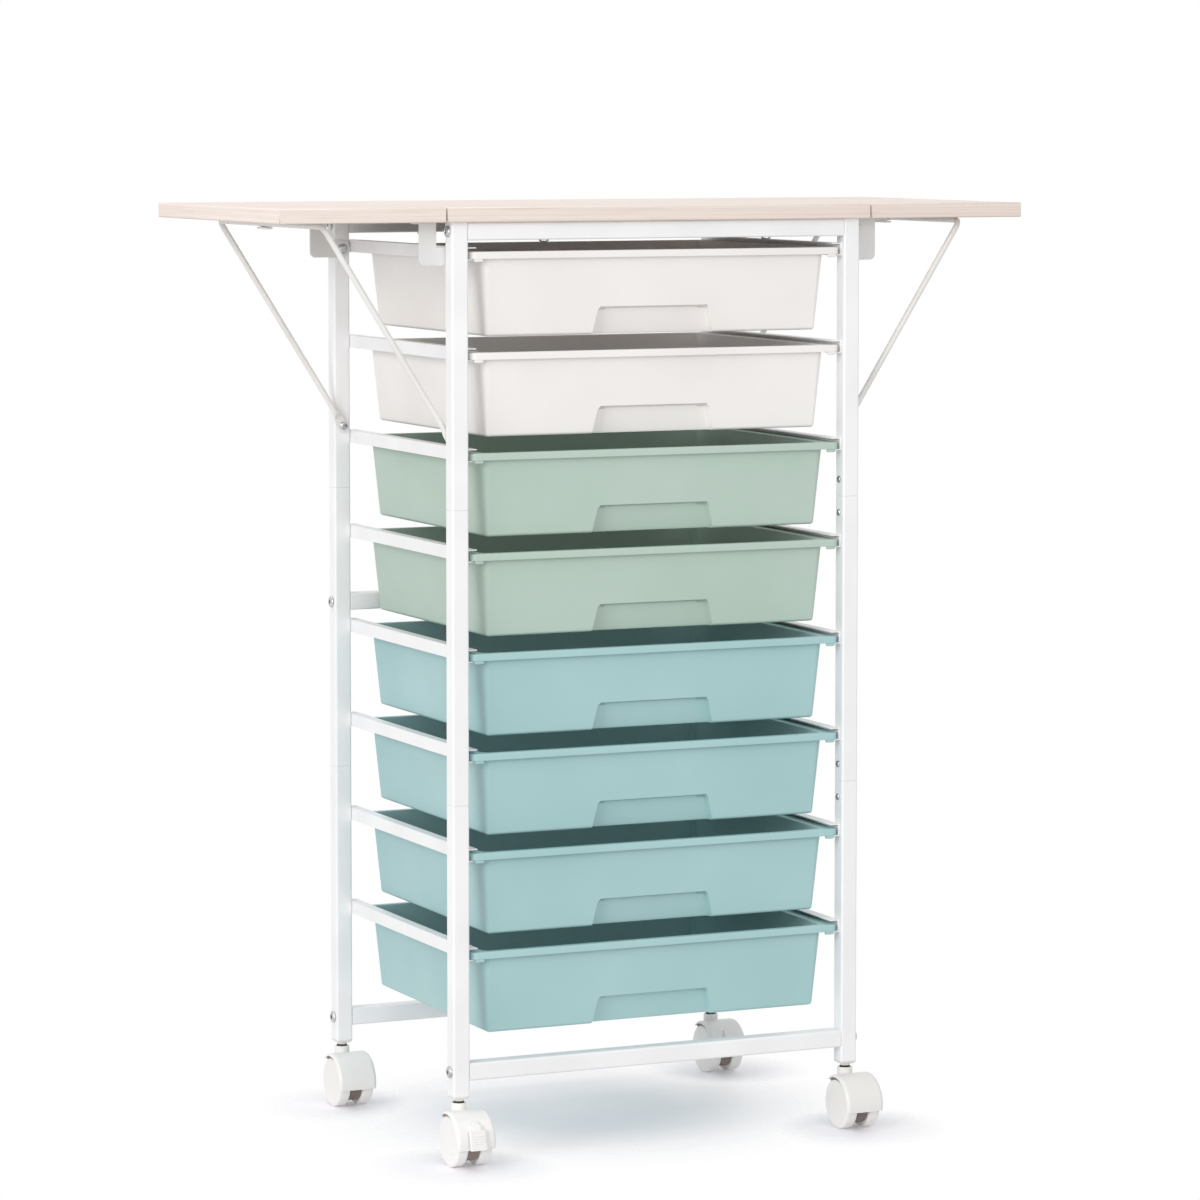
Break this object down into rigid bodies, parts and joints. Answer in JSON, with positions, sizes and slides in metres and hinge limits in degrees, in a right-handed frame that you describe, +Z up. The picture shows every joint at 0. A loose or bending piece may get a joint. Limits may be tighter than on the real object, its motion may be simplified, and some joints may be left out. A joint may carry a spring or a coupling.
{
  "type": "rolling drawer cart",
  "caption": "Rolling cart: square-tube frame, moulded pull-out drawers hung in side rails, wood-look top with drop leaves on folding braces, swivel casters with brakes.",
  "frame": {"origin": "on the floor, at the middle of the outline seen from above with the leaves up", "axes": "+Z up, drawers open towards -Y, leaves along X"},
  "size_m": [0.825, 0.394, 0.96],
  "materials": {
    "board": "satin",
    "painted_frame": "satin",
    "painted_screw": "satin",
    "drawer_white": "satin",
    "drawer_sage": "satin",
    "drawer_teal": "satin",
    "white_plastic": "satin",
    "steel": "satin",
    "caster_plastic": "gloss",
    "caster_wheel": "satin",
    "caster_core": "matte"
  },
  "bodies": {
    "cart": {"centre_board": "board", "drawer_rails_left": "painted_frame", "drawer_rails_right": "painted_frame", "pivot_screws": "painted_screw", "post_sleeves": "steel", "sleeve_screws": "painted_screw", "frame_screws": "painted_screw", "post_end_plugs": "white_plastic", "caster_stems": "steel", "post_front_left_top": "painted_frame", "post_front_left_middle": "painted_frame", "post_front_left_bottom": "painted_frame", "post_rear_left_top": "painted_frame", "post_rear_left_middle": "painted_frame", "post_rear_left_bottom": "painted_frame", "post_front_right_top": "painted_frame", "post_front_right_middle": "painted_frame", "post_front_right_bottom": "painted_frame", "post_rear_right_top": "painted_frame", "post_rear_right_middle": "painted_frame", "post_rear_right_bottom": "painted_frame", "top_front_rail": "painted_frame", "top_rear_rail": "painted_frame", "middle_rear_rail": "painted_frame", "bottom_front_rail": "painted_frame", "bottom_rear_rail": "painted_frame"},
    "drawer_1": {"drawer_1": "drawer_white"},
    "drawer_2": {"drawer_2": "drawer_white"},
    "drawer_3": {"drawer_3": "drawer_sage"},
    "drawer_4": {"drawer_4": "drawer_sage"},
    "drawer_5": {"drawer_5": "drawer_teal"},
    "drawer_6": {"drawer_6": "drawer_teal"},
    "drawer_7": {"drawer_7": "drawer_teal"},
    "drawer_8": {"drawer_8": "drawer_teal"},
    "leaf_left": {"leaf_left_board": "board", "leaf_hinge_plates_left": "painted_frame", "brace_catch_left": "white_plastic"},
    "brace_left": {"brace_left": "painted_frame"},
    "leaf_right": {"leaf_right_board": "board", "leaf_hinge_plates_right": "painted_frame", "brace_catch_right": "white_plastic"},
    "brace_right": {"brace_right": "painted_frame"},
    "caster_front_left": {"caster_front_left_housing": "caster_plastic", "caster_front_left_core": "caster_core"},
    "caster_front_left_outer_wheel": {"caster_front_left_outer_wheel": "caster_wheel"},
    "caster_front_left_inner_wheel": {"caster_front_left_inner_wheel": "caster_wheel"},
    "caster_front_left_brake_pedal": {"caster_front_left_brake_pedal": "caster_plastic"},
    "caster_rear_left": {"caster_rear_left_housing": "caster_plastic", "caster_rear_left_core": "caster_core"},
    "caster_rear_left_outer_wheel": {"caster_rear_left_outer_wheel": "caster_wheel"},
    "caster_rear_left_inner_wheel": {"caster_rear_left_inner_wheel": "caster_wheel"},
    "caster_front_right": {"caster_front_right_housing": "caster_plastic", "caster_front_right_core": "caster_core"},
    "caster_front_right_outer_wheel": {"caster_front_right_outer_wheel": "caster_wheel"},
    "caster_front_right_inner_wheel": {"caster_front_right_inner_wheel": "caster_wheel"},
    "caster_rear_right": {"caster_rear_right_housing": "caster_plastic", "caster_rear_right_core": "caster_core"},
    "caster_rear_right_outer_wheel": {"caster_rear_right_outer_wheel": "caster_wheel"},
    "caster_rear_right_inner_wheel": {"caster_rear_right_inner_wheel": "caster_wheel"},
    "caster_rear_right_brake_pedal": {"caster_rear_right_brake_pedal": "caster_plastic"}
  },
  "joints": [
    {"name": "drawer_1_slide", "type": "slide", "parent": "cart", "child": "drawer_1", "axis": [0, -1, 0], "range_m": [0, 0.25]},
    {"name": "drawer_2_slide", "type": "slide", "parent": "cart", "child": "drawer_2", "axis": [0, -1, 0], "range_m": [0, 0.25]},
    {"name": "drawer_3_slide", "type": "slide", "parent": "cart", "child": "drawer_3", "axis": [0, -1, 0], "range_m": [0, 0.25]},
    {"name": "drawer_4_slide", "type": "slide", "parent": "cart", "child": "drawer_4", "axis": [0, -1, 0], "range_m": [0, 0.25]},
    {"name": "drawer_5_slide", "type": "slide", "parent": "cart", "child": "drawer_5", "axis": [0, -1, 0], "range_m": [0, 0.25]},
    {"name": "drawer_6_slide", "type": "slide", "parent": "cart", "child": "drawer_6", "axis": [0, -1, 0], "range_m": [0, 0.25]},
    {"name": "drawer_7_slide", "type": "slide", "parent": "cart", "child": "drawer_7", "axis": [0, -1, 0], "range_m": [0, 0.25]},
    {"name": "drawer_8_slide", "type": "slide", "parent": "cart", "child": "drawer_8", "axis": [0, -1, 0], "range_m": [0, 0.25]},
    {"name": "leaf_left_fold", "type": "hinge", "parent": "cart", "child": "leaf_left", "pos_m": [-0.2185, 0.018, 0.9105], "axis": [0, -1, 0], "range_deg": [0, 90]},
    {"name": "brace_left_swing", "type": "hinge", "parent": "cart", "child": "brace_left", "pos_m": [-0.2185, 0.018, 0.7242], "axis": [0, -1, 0], "range_deg": [0, 147.7]},
    {"name": "leaf_right_fold", "type": "hinge", "parent": "cart", "child": "leaf_right", "pos_m": [0.2185, 0.018, 0.9105], "axis": [0, 1, 0], "range_deg": [0, 90]},
    {"name": "brace_right_swing", "type": "hinge", "parent": "cart", "child": "brace_right", "pos_m": [0.2185, 0.018, 0.7242], "axis": [0, 1, 0], "range_deg": [0, 147.7]},
    {"name": "caster_front_left_swivel", "type": "hinge", "parent": "cart", "child": "caster_front_left", "pos_m": [-0.2185, -0.143, 0.055], "axis": [0, 0, 1], "continuous": true},
    {"name": "caster_front_left_outer_wheel_spin", "type": "hinge", "parent": "caster_front_left", "child": "caster_front_left_outer_wheel", "pos_m": [-0.2185, -0.161, 0.026], "axis": [1, 0, 0], "continuous": true},
    {"name": "caster_front_left_inner_wheel_spin", "type": "hinge", "parent": "caster_front_left", "child": "caster_front_left_inner_wheel", "pos_m": [-0.2185, -0.161, 0.026], "axis": [1, 0, 0], "continuous": true},
    {"name": "caster_front_left_brake", "type": "hinge", "parent": "caster_front_left", "child": "caster_front_left_brake_pedal", "pos_m": [-0.2185, -0.17794, 0.043], "axis": [1, 0, 0], "range_deg": [0, 8]},
    {"name": "caster_rear_left_swivel", "type": "hinge", "parent": "cart", "child": "caster_rear_left", "pos_m": [-0.2185, 0.179, 0.055], "axis": [0, 0, 1], "continuous": true},
    {"name": "caster_rear_left_outer_wheel_spin", "type": "hinge", "parent": "caster_rear_left", "child": "caster_rear_left_outer_wheel", "pos_m": [-0.2185, 0.161, 0.026], "axis": [1, 0, 0], "continuous": true},
    {"name": "caster_rear_left_inner_wheel_spin", "type": "hinge", "parent": "caster_rear_left", "child": "caster_rear_left_inner_wheel", "pos_m": [-0.2185, 0.161, 0.026], "axis": [1, 0, 0], "continuous": true},
    {"name": "caster_front_right_swivel", "type": "hinge", "parent": "cart", "child": "caster_front_right", "pos_m": [0.2185, -0.143, 0.055], "axis": [0, 0, 1], "continuous": true},
    {"name": "caster_front_right_outer_wheel_spin", "type": "hinge", "parent": "caster_front_right", "child": "caster_front_right_outer_wheel", "pos_m": [0.2185, -0.161, 0.026], "axis": [1, 0, 0], "continuous": true},
    {"name": "caster_front_right_inner_wheel_spin", "type": "hinge", "parent": "caster_front_right", "child": "caster_front_right_inner_wheel", "pos_m": [0.2185, -0.161, 0.026], "axis": [1, 0, 0], "continuous": true},
    {"name": "caster_rear_right_swivel", "type": "hinge", "parent": "cart", "child": "caster_rear_right", "pos_m": [0.2185, 0.179, 0.055], "axis": [0, 0, 1], "continuous": true},
    {"name": "caster_rear_right_outer_wheel_spin", "type": "hinge", "parent": "caster_rear_right", "child": "caster_rear_right_outer_wheel", "pos_m": [0.2185, 0.161, 0.026], "axis": [1, 0, 0], "continuous": true},
    {"name": "caster_rear_right_inner_wheel_spin", "type": "hinge", "parent": "caster_rear_right", "child": "caster_rear_right_inner_wheel", "pos_m": [0.2185, 0.161, 0.026], "axis": [1, 0, 0], "continuous": true},
    {"name": "caster_rear_right_brake", "type": "hinge", "parent": "caster_rear_right", "child": "caster_rear_right_brake_pedal", "pos_m": [0.2185, 0.14406, 0.043], "axis": [1, 0, 0], "range_deg": [0, 8]}
  ],
  "couplings": [
    {"joint": "brace_left_swing", "follows": "leaf_left_fold", "ratio": 1.641},
    {"joint": "brace_right_swing", "follows": "leaf_right_fold", "ratio": 1.641}
  ]
}
